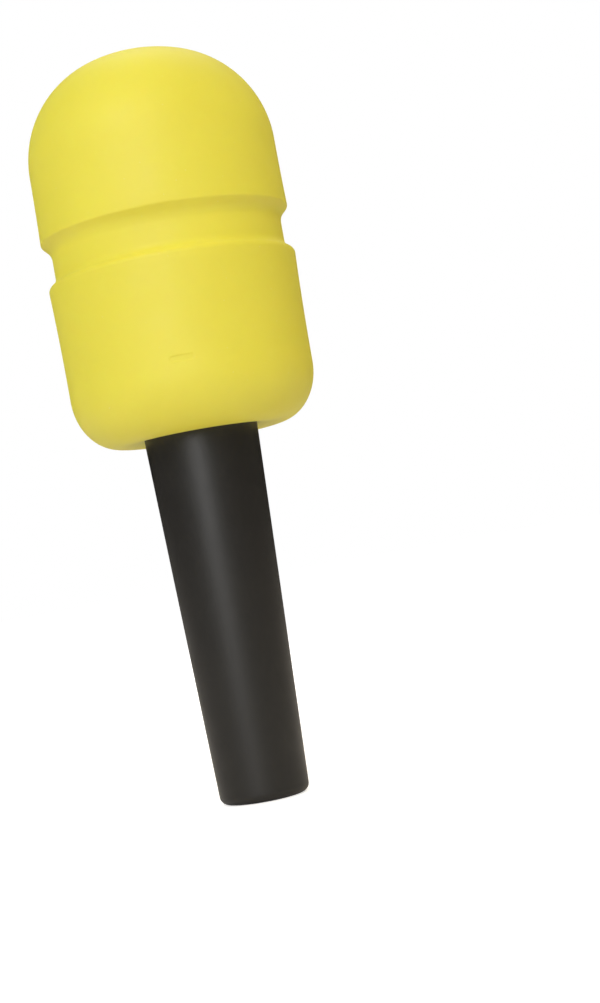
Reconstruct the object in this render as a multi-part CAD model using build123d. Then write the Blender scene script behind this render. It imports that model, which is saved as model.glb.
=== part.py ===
from build123d import *
from math import acos, cos, degrees, radians, sin, sqrt, tan
import os

# A hand shaker: a capsule-shaped head on a tapered handle. The head is a rigid chamber in two halves under
# a one-piece silicone sleeve, and it holds a charge of loose steel balls. A screw inside the handle pulls
# the chamber's stem down, which clamps the sleeve's lower lip between the chamber and the handle.
# Millimetres. The origin is the centre of the handle's flat end, and +Z runs up the handle to the crown.

# Overall
handle_length = 97.7  # handle end to where the handle meets the head
handle_end_radius = 11.8
handle_top_radius = 15.1
head_radius = 33.0  # at the groove's lower edge

# Head, outer surface
underside_rise = 0.9  # the head's underside is this much higher at the handle than at its lowest ring
corner_radius = 11.3  # lower corner of the head, across
corner_height = 14.2  # and along the axis
low_side_taper = 0.6  # how much slimmer the head is just above that corner
lower_height = 44.0  # lowest ring to the groove's lower edge
groove_depth = 2.3
groove_height = 12.0  # between the groove's two edges
low_wall_turn = 55.5  # degrees that the outline turns at the groove's lower edge
high_wall_turn = 45.0  # and at its upper edge
lip_flare = 0.1  # how far the upper edge stands out past the lower one
upper_side_height = 18.3  # the groove's upper edge to the start of the dome
upper_side_taper = 0.16
dome_arc_offset = 5.04  # the dome's lower arc is centred this far from the axis
crown_flattening = 13.86  # the crown's arc has a radius larger by this
shoulder_round = 1.5
lip_round = 0.8
groove_low_round = 2.4
groove_high_round = 4.5
wall_share = 0.95  # most of a groove wall that one rounding may take up

# Sleeve and chamber
sleeve_wall = 2.2
chamber_wall = 2.0
floor_wall = 2.0
spigot_wall = 1.7
spigot_length = 7.0
spigot_root = 6.0  # how far the spigot's ring runs down inside the cup
spigot_clearance = 0.1
skirt_wall = 1.4  # dome wall outside the spigot
bead_height = 0.4
bead_width = 1.4
bead_clearance = 0.1

# Handle
neck_step = 1.9  # shoulder that the sleeve's lip sits on, round the handle's reduced neck
neck_wall = 2.2
neck_gap = 0.3  # left over the neck, so that the screw clamps the lip
end_wall = 2.8
bulkhead_height = 56.0
bulkhead_wall = 4.0

# Stem and screw
collar_height = 6.0
collar_clearance = 0.15
stem_wall = 2.5
stem_gap = 0.5
stem_rib_count = 4
stem_rib_width = 1.6
insert_wall = 1.0
insert_length = 10.0
insert_knurls = 16
knurl_depth = 0.25
screw_radius = 2.5
screw_length = 18.0
screw_head_radius = 4.75
screw_head_height = 2.8
screw_clearance = 0.25
thread_clearance = 0.05
hex_key = 3.0
hex_depth = 1.6
stem_drill_depth = 15.0
washer_radius = 5.0
washer_thickness = 1.0
spring_washer_radius = 4.4
spring_washer_thickness = 1.2
spring_washer_gap = 1.0

# End cap
cap_flange = 2.8
cap_step = 0.8  # how far the flange stands out over the plug, on the seat inside the tube
cap_seat_clearance = 0.05
end_round = 2.2
cap_plug_length = 7.5
cap_plug_wall = 1.6
cap_plug_clearance = 0.1
crush_rib_count = 6
crush_rib_radius = 0.6
crush_rib_interference = 0.08
parting_chamfer = 0.2

# Charge
pellet_radius = 3.0
pellet_spacing = 0.5  # between neighbouring balls
pellet_gap = 0.15  # between a ball and the floor
pellet_rings = 3

# Worked out
head_low = handle_length - underside_rise
shoulder_z = head_low + lower_height
lip_z = shoulder_z + groove_height
split_z = (shoulder_z + lip_z) / 2
dome_z = lip_z + upper_side_height
low_side_radius = head_radius - low_side_taper
ring_radius = low_side_radius - corner_radius  # of the lowest ring
groove_radius = head_radius - groove_depth
lip_radius = head_radius + lip_flare
dome_side_radius = head_radius - upper_side_taper
dome_arc_radius = dome_side_radius - dome_arc_offset
dome_turn = acos(dome_arc_offset / crown_flattening)
crown_radius = dome_arc_radius + crown_flattening
crown_centre_z = dome_z - crown_flattening * sin(dome_turn)
crown_z = crown_centre_z + crown_radius
cup_base_z = handle_length + sleeve_wall
floor_z = cup_base_z + floor_wall
skirt_radius = groove_radius - sleeve_wall - skirt_wall
spigot_radius = skirt_radius - spigot_clearance
neck_radius = handle_top_radius - neck_step
upper_bore_radius = neck_radius - neck_wall
cap_seat_radius = handle_end_radius - end_wall
lower_bore_radius = cap_seat_radius - cap_step
bulkhead_top = bulkhead_height + bulkhead_wall
stem_end = bulkhead_top + stem_gap
insert_radius = screw_radius + insert_wall
stem_radius = insert_radius + stem_wall
screw_hole_radius = screw_radius + screw_clearance
screw_seat = bulkhead_height - washer_thickness - spring_washer_thickness
cap_plug_top = cap_flange + cap_plug_length
cap_plug_radius = lower_bore_radius - cap_plug_clearance
pellet_pitch = 2 * pellet_radius + pellet_spacing


def turned(outline):
    """The solid of revolution about Z of an outline drawn as (radius, height)."""
    return revolve(Plane.XZ * outline, Axis.Z)


def disc(radius, low, high):
    """A plain cylinder on the axis between two heights."""
    return Pos(0, 0, low) * Cylinder(radius, high - low, align=(Align.CENTER, Align.CENTER, Align.MIN))


def handle_radius(z):
    """The handle's outer radius at a height."""
    return handle_end_radius + (handle_top_radius - handle_end_radius) * z / handle_length


def rounded(face, corners):
    """The outline with each (point, radius) corner rounded, where there is room for it."""
    for point, radius in corners:
        if radius > 0:
            corner = face.vertices().sort_by_distance(Vector(*point))[0]
            face = fillet(corner, radius)
    return face


def head_outline(inset):
    """Half of the head's section, closed on the axis, drawn inside the outer surface by inset."""
    low_turn = radians(low_wall_turn)
    high_turn = radians(high_wall_turn)
    low_depth = head_radius - groove_radius
    high_depth = lip_radius - groove_radius
    low_shift = inset * tan(low_turn / 2)
    high_shift = inset * tan(high_turn / 2)
    low_room = wall_share * low_depth / (1 - cos(low_turn))
    high_room = wall_share * high_depth / (1 - cos(high_turn))
    base = (0, handle_length + inset)
    recess_edge = (handle_top_radius, handle_length + inset)
    ring = (ring_radius, head_low + inset)
    corner_top = (low_side_radius - inset, head_low + corner_height)
    shoulder = (head_radius - inset, shoulder_z - low_shift)
    floor_low = (groove_radius - inset, shoulder_z - low_shift + low_depth / tan(low_turn))
    lip = (lip_radius - inset, lip_z + high_shift)
    floor_high = (groove_radius - inset, lip_z + high_shift - high_depth / tan(high_turn))
    dome_start = (dome_side_radius - inset, dome_z)
    crown_start = (
        dome_arc_offset + (dome_arc_radius - inset) * cos(dome_turn),
        dome_z + (dome_arc_radius - inset) * sin(dome_turn),
    )
    apex = (0, crown_z - inset)
    edges = [
        Line(base, recess_edge),
        TangentArc(ring, recess_edge, tangent=(-1, 0)),
        EllipticalCenterArc(
            (ring_radius, head_low + corner_height),
            corner_radius - inset,
            corner_height - inset,
            start_angle=-90,
            arc_size=90,
        ),
        TangentArc(corner_top, shoulder, tangent=(0, 1)),
        Line(shoulder, floor_low),
        Line(floor_low, floor_high),
        Line(floor_high, lip),
        TangentArc(dome_start, lip, tangent=(0, -1)),
        CenterArc((dome_arc_offset, dome_z), dome_arc_radius - inset, 0, degrees(dome_turn)),
        TangentArc(crown_start, apex, tangent=(-sin(dome_turn), cos(dome_turn))),
        Line(apex, base),
    ]
    corners = [
        (shoulder, shoulder_round - inset),
        (floor_low, min(groove_low_round + inset, low_room)),
        (floor_high, min(groove_high_round + inset, high_room)),
        (lip, lip_round - inset),
    ]
    return rounded(make_face(edges), corners)


def head_sleeve():
    """Silicone sleeve: the head's skin, with a lip that the handle's neck passes through."""
    skin = turned(head_outline(0)) - turned(head_outline(sleeve_wall))
    return skin - disc(neck_radius, head_low - 1, cup_base_z + 1)


def chamber():
    """Both halves of the rigid chamber as one hollow form, with a flat floor."""
    hollow = turned(head_outline(sleeve_wall + chamber_wall))
    hollow -= disc(low_side_radius, head_low, floor_z)
    return turned(head_outline(sleeve_wall)) - hollow


def bead(radius, grow):
    """Snap bead round the spigot, or its recess when grown by a clearance."""
    middle = split_z + spigot_length * 0.6
    half = bead_width / 2 + grow
    return turned(make_face(Polyline(
        (radius - 1, middle - half),
        (radius, middle - half),
        (radius + bead_height + grow, middle),
        (radius, middle + half),
        (radius - 1, middle + half),
        close=True,
    )))


def chamber_dome():
    """Upper half of the chamber, whose skirt slips over the cup's spigot."""
    dome = chamber() - disc(lip_radius, head_low, split_z)
    dome -= disc(skirt_radius, split_z, split_z + spigot_length + spigot_clearance)
    return dome - bead(spigot_radius, bead_clearance)


def stem():
    """Collar and stem under the cup, which centre it in the handle and carry the insert."""
    collar = disc(upper_bore_radius - collar_clearance, cup_base_z - collar_height, cup_base_z)
    post = collar + disc(stem_radius, stem_end, cup_base_z)
    rib_low = (stem_end + cup_base_z) / 2
    rib_reach = upper_bore_radius - collar_clearance - 1
    rib = extrude(Plane.XZ * make_face(Polyline(
        (stem_radius - 1, rib_low),
        (rib_reach, cup_base_z - collar_height),
        (stem_radius - 1, cup_base_z - collar_height),
        close=True,
    )), amount=stem_rib_width / 2, both=True)
    for turn in range(stem_rib_count):
        post += Rot(0, 0, 360 / stem_rib_count * turn) * rib
    post -= disc(insert_radius, stem_end, stem_end + insert_length)
    return post - disc(screw_hole_radius, stem_end, stem_end + stem_drill_depth)


def chamber_cup():
    """Lower half of the chamber, with its spigot, snap bead and stem."""
    cup = chamber() - disc(lip_radius, split_z, crown_z)
    ring_low = split_z - spigot_root
    cup += disc(spigot_radius, ring_low, split_z + spigot_length) - disc(
        spigot_radius - spigot_wall, ring_low, split_z + spigot_length
    )
    cup += bead(spigot_radius, 0) - disc(spigot_radius - spigot_wall / 2, split_z, split_z + spigot_length)
    return cup + stem()


def stem_insert():
    """Knurled brass insert, moulded into the end of the stem."""
    insert = disc(insert_radius, stem_end, stem_end + insert_length)
    knurl = Pos(insert_radius, 0, stem_end + insert_length / 2) * Rot(0, 0, 45) * Box(
        knurl_depth, knurl_depth, insert_length * 0.6
    )
    for turn in range(insert_knurls):
        insert -= Rot(0, 0, 360 / insert_knurls * turn) * knurl
    return insert - disc(screw_radius + thread_clearance, stem_end, stem_end + insert_length)


def tie_bolt():
    """Button-head socket screw, head down, reached through the handle's open end."""
    head_low_z = screw_seat - screw_head_height
    head = disc(screw_head_radius, head_low_z, screw_seat)
    head = fillet(head.edges().group_by(Axis.Z)[0], screw_head_height * 0.6)
    socket = Pos(0, 0, head_low_z) * extrude(
        RegularPolygon(hex_key / 2, 6, major_radius=False), amount=hex_depth
    )
    shank = disc(screw_radius, screw_seat, screw_seat + screw_length)
    shank = chamfer(shank.edges().group_by(Axis.Z)[-1], 0.5)
    return head + shank - socket


def washer(radius, low, thickness):
    """Ring with a clearance hole for the screw."""
    return disc(radius, low, low + thickness) - disc(screw_hole_radius, low, low + thickness)


def flat_washer():
    """Plain washer against the bulkhead."""
    return washer(washer_radius, bulkhead_height - washer_thickness, washer_thickness)


def spring_washer():
    """Split lock washer, pressed flat."""
    cut = Pos(spring_washer_radius, 0, screw_seat) * Rot(0, 20, 0) * Box(
        2 * spring_washer_radius, spring_washer_gap, 4 * spring_washer_thickness
    )
    return washer(spring_washer_radius, screw_seat, spring_washer_thickness) - cut


def handle_shell():
    """Tapered tube with a rounded end, a seat for the cap, a bulkhead for the screw and a reduced neck."""
    neck_top = cup_base_z - neck_gap
    end_edge = (handle_end_radius, 0)
    outline = make_face(Polyline(
        (cap_seat_radius, 0),
        end_edge,
        (handle_top_radius, handle_length),
        (neck_radius, handle_length),
        (neck_radius, neck_top),
        (upper_bore_radius, neck_top),
        (upper_bore_radius, bulkhead_top),
        (screw_hole_radius, bulkhead_top),
        (screw_hole_radius, bulkhead_height),
        (lower_bore_radius, bulkhead_height),
        (lower_bore_radius, cap_flange),
        (cap_seat_radius, cap_flange),
        close=True,
    ))
    return turned(rounded(outline, [(end_edge, end_round)]))


def end_cap():
    """Plug that closes the handle: a flange flush with the handle's end and a ribbed skirt."""
    flange = disc(cap_seat_radius - cap_seat_clearance, 0, cap_flange)
    flange = chamfer(flange.edges().group_by(Axis.Z)[0], parting_chamfer)
    plug = disc(cap_plug_radius, cap_flange, cap_plug_top)
    rib_reach = lower_bore_radius + crush_rib_interference - crush_rib_radius
    rib = Pos(rib_reach, 0, cap_flange) * Cylinder(
        crush_rib_radius, cap_plug_length * 0.8, align=(Align.CENTER, Align.CENTER, Align.MIN)
    )
    for turn in range(crush_rib_count):
        plug += Rot(0, 0, 360 / crush_rib_count * turn) * rib
    plug -= disc(cap_plug_radius - cap_plug_wall, cap_flange, cap_plug_top)
    return flange + plug


def pellet_places():
    """Centres of the charge at rest: hexagonal rings in one layer on the chamber's floor."""
    height = floor_z + pellet_gap + pellet_radius
    places = []
    for row in range(-pellet_rings, pellet_rings + 1):
        for column in range(-pellet_rings, pellet_rings + 1):
            if abs(row + column) <= pellet_rings:
                x = pellet_pitch * (column + row / 2)
                y = pellet_pitch * row * sqrt(3) / 2
                places.append((x, y, height))
    return places


def pellet(place):
    """One steel ball of the charge."""
    return Pos(*place) * Sphere(pellet_radius)


def nodes():
    """Every piece by name."""
    pieces = {
        "head_sleeve": head_sleeve(),
        "chamber_dome": chamber_dome(),
        "chamber_cup": chamber_cup(),
        "stem_insert": stem_insert(),
        "tie_bolt": tie_bolt(),
        "flat_washer": flat_washer(),
        "spring_washer": spring_washer(),
        "handle_shell": handle_shell(),
        "end_cap": end_cap(),
    }
    for number, place in enumerate(pellet_places(), start=1):
        pieces[f"pellet_{number:02d}"] = pellet(place)
    return pieces


os.makedirs("parts", exist_ok=True)
for name, piece in nodes().items():
    export_step(piece, f"parts/{name}.step")
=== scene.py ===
import math

import bpy
from mathutils import Matrix, Vector, noise


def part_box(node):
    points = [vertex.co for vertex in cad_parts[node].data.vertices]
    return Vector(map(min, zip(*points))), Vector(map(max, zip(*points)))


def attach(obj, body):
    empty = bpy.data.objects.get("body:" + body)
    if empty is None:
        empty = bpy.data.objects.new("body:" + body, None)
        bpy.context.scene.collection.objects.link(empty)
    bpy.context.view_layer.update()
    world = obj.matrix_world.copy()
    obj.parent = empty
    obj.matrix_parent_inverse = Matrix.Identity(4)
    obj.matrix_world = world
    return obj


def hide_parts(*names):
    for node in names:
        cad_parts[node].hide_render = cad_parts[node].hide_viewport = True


# The looks of a hand shaker: a yellow silicone skin over the head, a black moulded handle and cap, and the
# finish of every piece inside. Metres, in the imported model's frame: +Z up the handle, front towards -Y.

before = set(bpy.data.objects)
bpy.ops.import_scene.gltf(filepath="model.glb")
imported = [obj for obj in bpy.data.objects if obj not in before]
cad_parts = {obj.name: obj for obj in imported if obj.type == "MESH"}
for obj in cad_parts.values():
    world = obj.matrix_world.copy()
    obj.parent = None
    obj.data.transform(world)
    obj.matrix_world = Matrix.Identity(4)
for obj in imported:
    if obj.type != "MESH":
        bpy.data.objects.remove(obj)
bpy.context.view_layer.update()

MM = 0.001
ROOT = "shaker"

# Head skin: its overall size comes from the head sleeve in model.glb, and these are the shapes on it.
SKIN_WALL = 2.15 * MM
CORNER_ACROSS = 11.3 * MM
CORNER_ALONG = 14.2 * MM
LOW_SIDE_TAPER = 0.6 * MM
LOWER_HEIGHT = 44.0 * MM
GROOVE_DEPTH = 2.3 * MM
GROOVE_HEIGHT = 12.0 * MM
LOW_WALL_TURN = math.radians(55.5)
HIGH_WALL_TURN = math.radians(45.0)
LIP_FLARE = 0.1 * MM
UPPER_SIDE_HEIGHT = 18.3 * MM
UPPER_SIDE_TAPER = 0.16 * MM
DOME_ARC_OFFSET = 5.04 * MM
CROWN_FLATTENING = 13.86 * MM
SHOULDER_ROUND = 1.5 * MM
LIP_ROUND = 0.8 * MM
GROOVE_LOW_ROUND = 2.4 * MM
GROOVE_HIGH_ROUND = 4.5 * MM
LEAST_ROUND = 0.3 * MM
NECK_STEP = 1.9 * MM
HANDLE_EDGE = 0.1 * MM
HOLE_PLAY = 0.05 * MM
CREASE_DEPTH = 0.22 * MM
CREASE_WIDTH = 0.35 * MM

# Moulded mark low on the front of the skin: a plain pill-shaped recess.
MARK_AZIMUTH = math.radians(-2.3)
MARK_HEIGHT = 114.0 * MM
MARK_HALF_WIDTH = 3.1 * MM
MARK_HALF_HEIGHT = 0.75 * MM
MARK_DEPTH = 0.16 * MM
MARK_EDGE = 0.30 * MM

# How finely the skin is divided, and how uneven soft silicone is.
PLAIN_STEPS = 192  # round the axis
MARK_STEPS = 30  # across the mark
FINE_STEP = 0.28 * MM
COARSE_STEP = 1.2 * MM
SHORTEST_STEP = 0.02 * MM
ON_AXIS = 0.01 * MM
UNEVEN_DEPTH = 0.05 * MM
UNEVEN_SCALE = 28 * MM

# Colours
YELLOW = ((0.800, 0.722, 0.076), (0.828, 0.755, 0.084))
YELLOW_MOTTLE = (0.845, 0.775, 0.107)
LINT = (0.86, 0.82, 0.40)
BLACK = ((0.0022, 0.0021, 0.0020), (0.0048, 0.0045, 0.0041))
NATURAL_ABS = ((0.74, 0.725, 0.67), (0.81, 0.80, 0.76))
STEEL = ((0.50, 0.50, 0.51), (0.66, 0.66, 0.67))
SPRING_STEEL = ((0.30, 0.30, 0.31), (0.44, 0.43, 0.42))
BRASS = ((0.60, 0.43, 0.17), (0.74, 0.56, 0.26))
ZINC_SCREW = ((0.48, 0.49, 0.52), (0.62, 0.63, 0.64))
ZINC_WASHER = ((0.52, 0.53, 0.55), (0.66, 0.66, 0.67))
FLOOR_TONES = ((0.78, 0.74, 0.69), (0.80, 0.76, 0.71))
WHITE = (1, 1, 1)
WARM = (1.0, 0.90, 0.72)

# Room
FLOOR_WIDTH = 60.0
FLOOR_GAP = 0.05 * MM
GLOW_REACH = (0.12, 0.70)  # the floor looks whiter from the first distance to the second
GLOW = (0.64, 1.0)
AMBIENT = 0.06
AMBIENT_COLOUR = (1.0, 0.97, 0.92)
HEAD_MIDDLE = 0.150
LAMP_DISTANCE = 1.0

# Camera
LENS = 66.8
SENSOR_WIDTH = 36.0
NEAREST_SEEN = 0.01
CAMERA_PLACE = Vector((1.5, -491.3, 58.4)) * MM
CAMERA_YAW = math.radians(-2.455)
CAMERA_PITCH = math.radians(1.925)
CAMERA_ROLL = math.radians(-10.15)


# ------------------------------------------------- outline of the head, as points of (radius, height)


def arc(centre, across, along, start, end, step):
    """Points on an ellipse's arc; angles in radians from the radius axis."""
    count = max(2, math.ceil(abs(end - start) * max(across, along) / step))
    turns = [start + (end - start) * i / count for i in range(count + 1)]
    return [(centre[0] + across * math.cos(t), centre[1] + along * math.sin(t)) for t in turns]


def run(start, end, step):
    """Points on a straight line."""
    count = max(1, math.ceil(math.dist(start, end) / step))
    return [tuple(s + (e - s) * i / count for s, e in zip(start, end)) for i in range(count + 1)]


def bow(start, end, step):
    """Points on a shallow curve that leaves start along the second axis and bends over to end."""
    count = max(2, math.ceil(math.dist(start, end) / step))
    shares = [i / count for i in range(count + 1)]
    return [
        (start[0] + (end[0] - start[0]) * s * s, start[1] + (end[1] - start[1]) * s) for s in shares
    ]


def round_corner(before, corner, after, radius, step):
    """Points on the arc that rounds a corner between two straight runs."""
    a = (Vector(before) - Vector(corner)).normalized()
    b = (Vector(after) - Vector(corner)).normalized()
    half = a.angle(b) / 2
    centre = Vector(corner) + (a + b).normalized() * radius / math.sin(half)
    first = Vector(corner) + a * radius / math.tan(half) - centre
    last = Vector(corner) + b * radius / math.tan(half) - centre
    start = math.atan2(first.y, first.x)
    turn = (math.atan2(last.y, last.x) - start + math.pi) % (2 * math.pi) - math.pi
    return arc(centre, radius, radius, start, start + turn, step)


def skin_outline(inset, fine):
    """The head's outline from the handle to the crown, drawn inside the outer surface by inset."""
    low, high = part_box("head_sleeve")
    handle_radius, junction = handle_top()
    head_radius = high.x - LIP_FLARE
    groove_radius = head_radius - GROOVE_DEPTH - inset
    low_side = head_radius - LOW_SIDE_TAPER
    ring_radius = low_side - CORNER_ACROSS
    corner_top = low.z + CORNER_ALONG
    shoulder_z = low.z + LOWER_HEIGHT - inset * math.tan(LOW_WALL_TURN / 2)
    lip_z = low.z + LOWER_HEIGHT + GROOVE_HEIGHT + inset * math.tan(HIGH_WALL_TURN / 2)
    dome_side = head_radius - UPPER_SIDE_TAPER
    dome_z = low.z + LOWER_HEIGHT + GROOVE_HEIGHT + UPPER_SIDE_HEIGHT
    dome_turn = math.acos(DOME_ARC_OFFSET / CROWN_FLATTENING)
    dome_radius = dome_side - DOME_ARC_OFFSET - inset
    crown_radius = dome_radius + CROWN_FLATTENING
    crown_centre = (0, dome_z - CROWN_FLATTENING * math.sin(dome_turn))

    side_start = (low_side - inset, corner_top)
    shoulder = (head_radius - inset, shoulder_z)
    floor_low = (groove_radius, shoulder_z + GROOVE_DEPTH / math.tan(LOW_WALL_TURN))
    lip = (high.x - inset, lip_z)
    floor_high = (groove_radius, lip_z - (GROOVE_DEPTH + LIP_FLARE) / math.tan(HIGH_WALL_TURN))
    side_end = (dome_side - inset, dome_z)
    corners = [
        round_corner(side_start, shoulder, floor_low, max(SHOULDER_ROUND - inset, LEAST_ROUND), fine),
        round_corner(shoulder, floor_low, floor_high, GROOVE_LOW_ROUND + inset, fine),
        round_corner(floor_low, floor_high, lip, GROOVE_HIGH_ROUND + inset, fine),
        round_corner(floor_high, lip, side_end, max(LIP_ROUND - inset, LEAST_ROUND), fine),
    ]
    underside = bow((low.z + inset, ring_radius), (junction + inset, handle_radius), fine * 2)
    points = [(radius, height) for height, radius in reversed(underside)]
    points += arc(
        (ring_radius, corner_top), CORNER_ACROSS - inset, CORNER_ALONG - inset, -math.pi / 2, 0, fine * 3
    )
    points += bow(side_start, corners[0][0], fine * 3)
    for corner in corners:
        points += run(points[-1], corner[0], fine * 2)
        points += corner
    points += reversed(bow(side_end, points[-1], fine * 4))
    points += arc((DOME_ARC_OFFSET, dome_z), dome_radius, dome_radius, 0, dome_turn, COARSE_STEP)
    points += arc(crown_centre, crown_radius, crown_radius, dome_turn, math.pi / 2, COARSE_STEP)
    return points


def handle_top():
    """(radius, height) of the handle's shoulder, where it meets the head."""
    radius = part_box("handle_shell")[1].x
    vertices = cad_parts["handle_shell"].data.vertices
    return radius, max(v.co.z for v in vertices if v.co.xy.length > radius - HANDLE_EDGE)


def without_repeats(points):
    """The points without any that lies on the one before."""
    kept = points[:1]
    for point in points[1:]:
        if math.dist(point, kept[-1]) > SHORTEST_STEP:
            kept.append(point)
    return kept


def finer_at_mark(points):
    """The points with the stretch beside the moulded mark divided finely."""
    reach = MARK_HALF_HEIGHT + 2 * MARK_EDGE
    divided = points[:1]
    for start, end in zip(points, points[1:]):
        beside = abs((start[1] + end[1]) / 2 - MARK_HEIGHT) < reach + FINE_STEP
        upright = abs(end[1] - start[1]) > abs(end[0] - start[0])
        step = MARK_EDGE / 2 if beside and upright else math.inf
        divided += run(start, end, step)[1:]
    return divided


# ---------------------------------------------------------------------------------------- head skin


def azimuths():
    """The skin's divisions round the axis, closer together across the mark."""
    reach = (MARK_HALF_WIDTH + 3 * MARK_EDGE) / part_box("head_sleeve")[1].x
    plain = [2 * math.pi * i / PLAIN_STEPS - math.pi for i in range(PLAIN_STEPS)]
    fine = [MARK_AZIMUTH + reach * (2 * i / MARK_STEPS - 1) for i in range(MARK_STEPS + 1)]
    room = 2 * reach / MARK_STEPS
    return sorted(fine + [a for a in plain if abs(a - MARK_AZIMUTH) > reach + room])


def mark_depth(radius, azimuth, height):
    """How far the moulded mark lowers the skin at a place on it."""
    across = abs(azimuth - MARK_AZIMUTH) * radius
    outside = math.hypot(max(across - MARK_HALF_WIDTH + MARK_HALF_HEIGHT, 0), height - MARK_HEIGHT)
    share = min(max((MARK_HALF_HEIGHT + MARK_EDGE / 2 - outside) / MARK_EDGE, 0), 1)
    return MARK_DEPTH * share * share * (3 - 2 * share)


def skin_point(radius, azimuth, height, outer):
    """A point of the skin, with the unevenness of soft silicone and the mark on its outer side."""
    place = Vector((radius * math.sin(azimuth), -radius * math.cos(azimuth), height))
    if outer and radius > 0:
        uneven = UNEVEN_DEPTH * (noise.noise(place / UNEVEN_SCALE) - 1) / 2
        shift = uneven - mark_depth(radius, azimuth, height)
        place += shift * Vector((place.x, place.y, 0)).normalized()
    return place


def head_skin():
    """The silicone skin as one closed shell, turned from its outline."""
    handle_radius, junction = handle_top()
    hole = handle_radius - NECK_STEP + HOLE_PLAY
    outside = without_repeats(finer_at_mark(skin_outline(0, FINE_STEP)))
    outside = [p for p in outside if p[0] > handle_radius + CREASE_WIDTH or p[1] > junction + MM]
    seat = junction + HOLE_PLAY
    crease = [(hole, seat), (handle_radius - CREASE_WIDTH / 2, seat), (handle_radius, seat + CREASE_DEPTH)]
    inside = without_repeats(skin_outline(SKIN_WALL, COARSE_STEP))
    inside = inside[::-1] + [(hole, junction + SKIN_WALL)]
    outline = [(p, True) for p in crease + outside] + [(p, False) for p in inside]

    turns = azimuths()
    vertices = []
    rings = []
    for (radius, height), outer in outline:
        on_axis = radius < ON_AXIS
        here = [0.0] if on_axis else turns
        rings.append(range(len(vertices), len(vertices) + len(here)))
        vertices += [skin_point(0 if on_axis else radius, a, height, outer) for a in here]
    faces = []
    for ring, after in zip(rings, rings[1:] + rings[:1]):
        for i in range(len(turns)):
            j = (i + 1) % len(turns)
            corners = [ring[i % len(ring)], ring[j % len(ring)]]
            corners += [after[j % len(after)], after[i % len(after)]]
            distinct = list(dict.fromkeys(corners))
            if len(distinct) > 2:
                faces.append(distinct)
    skin = new_piece("head_skin", vertices, faces)
    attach(skin, ROOT)
    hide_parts("head_sleeve")
    return skin


def new_piece(name, vertices, faces):
    """A smooth-shaded mesh object."""
    mesh = bpy.data.meshes.new(name)
    mesh.from_pydata(vertices, [], faces)
    mesh.validate()
    mesh.shade_smooth()
    piece = bpy.data.objects.new(name, mesh)
    bpy.context.scene.collection.objects.link(piece)
    return piece


# ---------------------------------------------------------------------------------------- materials


class Finish:
    """A procedural material: a principled shader and the patterns that vary it."""

    def __init__(self, name, **sockets):
        self.material = bpy.data.materials.new(name)
        self.material.use_nodes = True
        self.tree = self.material.node_tree
        self.shader = self.tree.nodes["Principled BSDF"]
        for socket, value in sockets.items():
            self.shader.inputs[socket.replace("_", " ")].default_value = value
        self.place = self.node("ShaderNodeTexCoord").outputs["Object"]
        self.heights = []

    def node(self, kind, **values):
        """A node with some of its inputs set or linked."""
        made = self.tree.nodes.new(kind)
        for name, value in values.items():
            self.feed(made.inputs[name.replace("_", " ")], value)
        return made

    def feed(self, socket, value):
        """Links the socket to another, or sets its value."""
        if isinstance(value, bpy.types.NodeSocket):
            self.tree.links.new(value, socket)
        else:
            socket.default_value = value

    def grain(self, size, detail=3.0, roughness=0.5, stretch=(1, 1, 1)):
        """Noise from 0 to 1 whose features are about size across."""
        scaled = self.node("ShaderNodeMapping", Vector=self.place, Scale=[s / size for s in stretch])
        made = self.node(
            "ShaderNodeTexNoise", Vector=scaled.outputs[0], Scale=1.0, Detail=detail, Roughness=roughness
        )
        return made.outputs["Fac"]

    def ramp(self, value, low, high, to_low=0.0, to_high=1.0):
        """The value's stretch from low to high, spread over to_low to to_high."""
        made = self.node("ShaderNodeMapRange", Value=value)
        for socket, setting in zip(made.inputs[1:5], (low, high, to_low, to_high)):
            socket.default_value = setting
        return made.outputs[0]

    def times(self, first, second):
        """The product of two values."""
        made = self.tree.nodes.new("ShaderNodeMath")
        made.operation = "MULTIPLY"
        self.feed(made.inputs[0], first)
        self.feed(made.inputs[1], second)
        return made.outputs[0]

    def blend(self, share, first, second):
        """A colour between two."""
        made = self.tree.nodes.new("ShaderNodeMix")
        made.data_type = "RGBA"
        self.feed(made.inputs["Factor"], share)
        for socket, value in zip((made.inputs[6], made.inputs[7]), (first, second)):
            self.feed(socket, value if isinstance(value, bpy.types.NodeSocket) else (*value, 1.0))
        return made.outputs[2]

    def colour(self, value):
        self.feed(self.shader.inputs["Base Color"], value)

    def roughness(self, value):
        self.feed(self.shader.inputs["Roughness"], value)

    def bump(self, height, depth):
        """Adds surface relief: height from 0 to 1 is depth metres."""
        self.heights.append((height, depth))

    def done(self):
        """Joins the relief and gives back the material."""
        normal = None
        for height, depth in self.heights:
            made = self.node("ShaderNodeBump", Height=height, Strength=1.0, Distance=depth)
            if normal is not None:
                self.feed(made.inputs["Normal"], normal)
            normal = made.outputs[0]
        if normal is not None:
            self.feed(self.shader.inputs["Normal"], normal)
        return self.material


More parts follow.
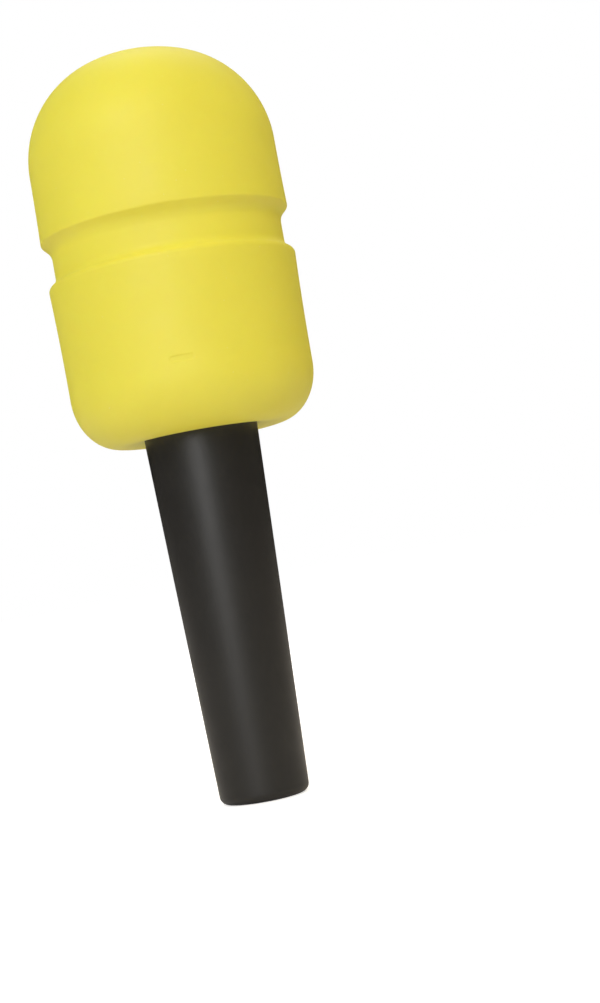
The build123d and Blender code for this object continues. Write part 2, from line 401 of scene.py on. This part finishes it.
def yellow_silicone():
    """Matt silicone: a powdery skin with faint clouding and a few specks of lint."""
    finish = Finish(
        "yellow_silicone",
        Specular_IOR_Level=0.48,
        Subsurface_Weight=0.35,
        Subsurface_Scale=1.5 * MM,
        Subsurface_Radius=(1.0, 0.75, 0.2),
    )
    clouding = finish.ramp(finish.grain(30 * MM, detail=2.0), 0.3, 0.7)
    mottle = finish.ramp(finish.grain(3.2 * MM, detail=4.0, roughness=0.6), 0.55, 0.80, to_high=0.25)
    lint = finish.ramp(finish.grain(0.9 * MM, detail=1.0), 0.76, 0.84, to_high=0.30)
    body = finish.blend(mottle, finish.blend(clouding, *YELLOW), YELLOW_MOTTLE)
    finish.colour(finish.blend(lint, body, LINT))
    finish.roughness(finish.ramp(finish.grain(6 * MM, detail=4.0), 0.25, 0.75, to_low=0.50, to_high=0.62))
    finish.bump(finish.grain(0.35 * MM, detail=4.0, roughness=0.65), depth=0.012 * MM)
    finish.bump(finish.grain(4.2 * MM, detail=2.0), depth=0.04 * MM)
    return finish.done()


def black_moulding(name, grain_depth, polished, dull):
    """Satin black plastic with a spark-eroded grain and the faint polish of handling."""
    finish = Finish(name, Specular_IOR_Level=0.74)
    worn = finish.ramp(finish.grain(16 * MM, roughness=0.6), 0.35, 0.70)
    finish.colour(finish.blend(worn, *BLACK))
    smudge = finish.grain(9 * MM, detail=5.0, roughness=0.6)
    finish.roughness(finish.ramp(smudge, 0.30, 0.72, to_low=polished, to_high=dull))
    finish.bump(finish.grain(0.30 * MM, roughness=0.7), depth=grain_depth)
    finish.bump(finish.grain(1.2 * MM, detail=2.0, stretch=(1, 1, 0.08)), depth=grain_depth / 3)
    return finish.done()


def white_abs():
    """Natural ABS: slightly translucent off-white with flow marks."""
    finish = Finish(
        "white_abs", Specular_IOR_Level=0.45, Subsurface_Weight=0.15, Subsurface_Scale=2 * MM
    )
    flow = finish.ramp(finish.grain(20 * MM, stretch=(1, 1, 0.35)), 0.3, 0.7)
    finish.colour(finish.blend(flow, *NATURAL_ABS))
    finish.roughness(finish.ramp(finish.grain(5 * MM, detail=4.0), 0.3, 0.7, to_low=0.34, to_high=0.50))
    finish.bump(finish.grain(0.5 * MM), depth=0.010 * MM)
    return finish.done()


def metal(name, colours, polished, dull, stretch=(1, 1, 1)):
    """Metal whose tool marks run across the stretched axis, dulled in patches."""
    finish = Finish(name, Metallic=1.0)
    patches = finish.ramp(finish.grain(2.2 * MM, detail=4.0, roughness=0.6), 0.35, 0.70)
    finish.colour(finish.blend(patches, *colours))
    finish.roughness(
        finish.ramp(finish.grain(1.2 * MM, detail=4.0), 0.3, 0.7, to_low=polished, to_high=dull)
    )
    finish.bump(finish.grain(0.6 * MM, detail=4.0, stretch=stretch), depth=0.008 * MM)
    return finish.done()


def dress(node, material):
    """Gives a CAD piece its finish."""
    node.data.materials.clear()
    node.data.materials.append(material)


def dress_cad_pieces():
    """Every piece that keeps its CAD shape."""
    abs_plastic = white_abs()
    ball = metal("steel_ball", STEEL, polished=0.12, dull=0.30)
    turned = (1, 1, 6)
    finishes = {
        "chamber_dome": abs_plastic,
        "chamber_cup": abs_plastic,
        "stem_insert": metal("brass_insert", BRASS, polished=0.22, dull=0.40, stretch=turned),
        "tie_bolt": metal("zinc_screw", ZINC_SCREW, polished=0.24, dull=0.42, stretch=turned),
        "flat_washer": metal("zinc_washer", ZINC_WASHER, polished=0.28, dull=0.45),
        "spring_washer": metal("spring_steel", SPRING_STEEL, polished=0.30, dull=0.50),
        "handle_shell": black_moulding("black_handle", grain_depth=0.010 * MM, polished=0.38, dull=0.47),
        "end_cap": black_moulding("black_cap", grain_depth=0.008 * MM, polished=0.36, dull=0.46),
    }
    for name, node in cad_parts.items():
        if name.startswith("pellet_"):
            dress(node, ball)
        elif name in finishes:
            dress(node, finishes[name])


# ------------------------------------------------------------------------------- floor, light, camera


def pale_floor():
    """A wide, matt, almost white floor just under the handle's end, brighter to look at than it is lit."""
    half = FLOOR_WIDTH / 2
    square = ((-half, -half), (half, -half), (half, half), (-half, half))
    corners = [(x, y, -FLOOR_GAP) for x, y in square]
    floor = new_piece("floor", corners, [(0, 1, 2, 3)])
    finish = Finish("floor", Roughness=0.9, Specular_IOR_Level=0.1, Emission_Color=(*WHITE, 1))
    tone = finish.ramp(finish.grain(350 * MM, detail=2.0), 0.3, 0.7)
    finish.colour(finish.blend(tone, *FLOOR_TONES))
    distance = finish.node("ShaderNodeVectorMath", Vector=finish.place)
    distance.operation = "LENGTH"
    glow = finish.ramp(distance.outputs["Value"], *GLOW_REACH, *GLOW)
    seen = finish.node("ShaderNodeLightPath").outputs["Is Camera Ray"]
    finish.feed(finish.shader.inputs["Emission Strength"], finish.times(seen, glow))
    floor.data.materials.append(finish.done())


def white_room():
    """White to look at, and a dim even light on the object."""
    world = bpy.data.worlds.new("room")
    bpy.context.scene.world = world
    world.use_nodes = True
    nodes = world.node_tree.nodes
    links = world.node_tree.links
    seen = nodes["Background"]
    seen.inputs["Color"].default_value = (*WHITE, 1)
    seen.inputs["Strength"].default_value = 1.0
    lit = nodes.new("ShaderNodeBackground")
    lit.inputs["Color"].default_value = (*AMBIENT_COLOUR, 1)
    lit.inputs["Strength"].default_value = AMBIENT
    path = nodes.new("ShaderNodeLightPath")
    mix = nodes.new("ShaderNodeMixShader")
    links.new(path.outputs["Is Camera Ray"], mix.inputs[0])
    links.new(lit.outputs[0], mix.inputs[1])
    links.new(seen.outputs[0], mix.inputs[2])
    links.new(mix.outputs[0], nodes["World Output"].inputs["Surface"])
    world.cycles_visibility.glossy = False


def softbox(name, azimuth, elevation, size, watts, colour=WHITE, mirrored=False):
    """An area lamp a metre from the head, aimed at it; azimuth runs from the front towards the right."""
    turn = math.radians(azimuth)
    rise = math.radians(elevation)
    away = Vector((math.sin(turn) * math.cos(rise), -math.cos(turn) * math.cos(rise), math.sin(rise)))
    data = bpy.data.lights.new(name, "AREA")
    data.shape = "RECTANGLE"
    data.size, data.size_y = size
    data.energy = watts
    data.color = colour
    lamp = bpy.data.objects.new(name, data)
    lamp.location = Vector((0, 0, HEAD_MIDDLE)) + away * LAMP_DISTANCE
    lamp.rotation_euler = (-away).to_track_quat("-Z", "Y").to_euler()
    lamp.visible_glossy = mirrored
    bpy.context.scene.collection.objects.link(lamp)


def lights():
    """A soft key nearly in front, and weaker fills that show in no reflection."""
    small = (0.6, 0.6)
    softbox("key", azimuth=-15, elevation=22, size=(0.50, 0.80), watts=5.85, mirrored=True)
    softbox("fill_right", azimuth=52, elevation=46, size=small, watts=3.8, colour=WARM)
    softbox("fill_side", azimuth=95, elevation=45, size=small, watts=1.1, colour=WARM)
    softbox("fill_left", azimuth=-75, elevation=35, size=small, watts=2.6)
    softbox("back_left", azimuth=-145, elevation=25, size=small, watts=3.2)
    softbox("back_right", azimuth=145, elevation=25, size=small, watts=2.2, colour=WARM)
    softbox("top", azimuth=170, elevation=58, size=(0.7, 0.7), watts=2.2, mirrored=True)


def camera():
    """The photographer's view: level with the handle, with the camera rolled."""
    data = bpy.data.cameras.new("camera")
    data.lens = LENS
    data.sensor_width = SENSOR_WIDTH
    data.clip_start = NEAREST_SEEN
    view = bpy.data.objects.new("camera", data)
    turn = Matrix.Rotation(CAMERA_YAW, 4, "Z") @ Matrix.Rotation(math.pi / 2 + CAMERA_PITCH, 4, "X")
    view.matrix_world = Matrix.Translation(CAMERA_PLACE) @ turn @ Matrix.Rotation(CAMERA_ROLL, 4, "Z")
    bpy.context.scene.collection.objects.link(view)
    bpy.context.scene.camera = view


bpy.context.scene.view_settings.view_transform = "Standard"
camera()
white_room()
lights()
pale_floor()
skin = head_skin()
skin.data.materials.append(yellow_silicone())
dress_cad_pieces()
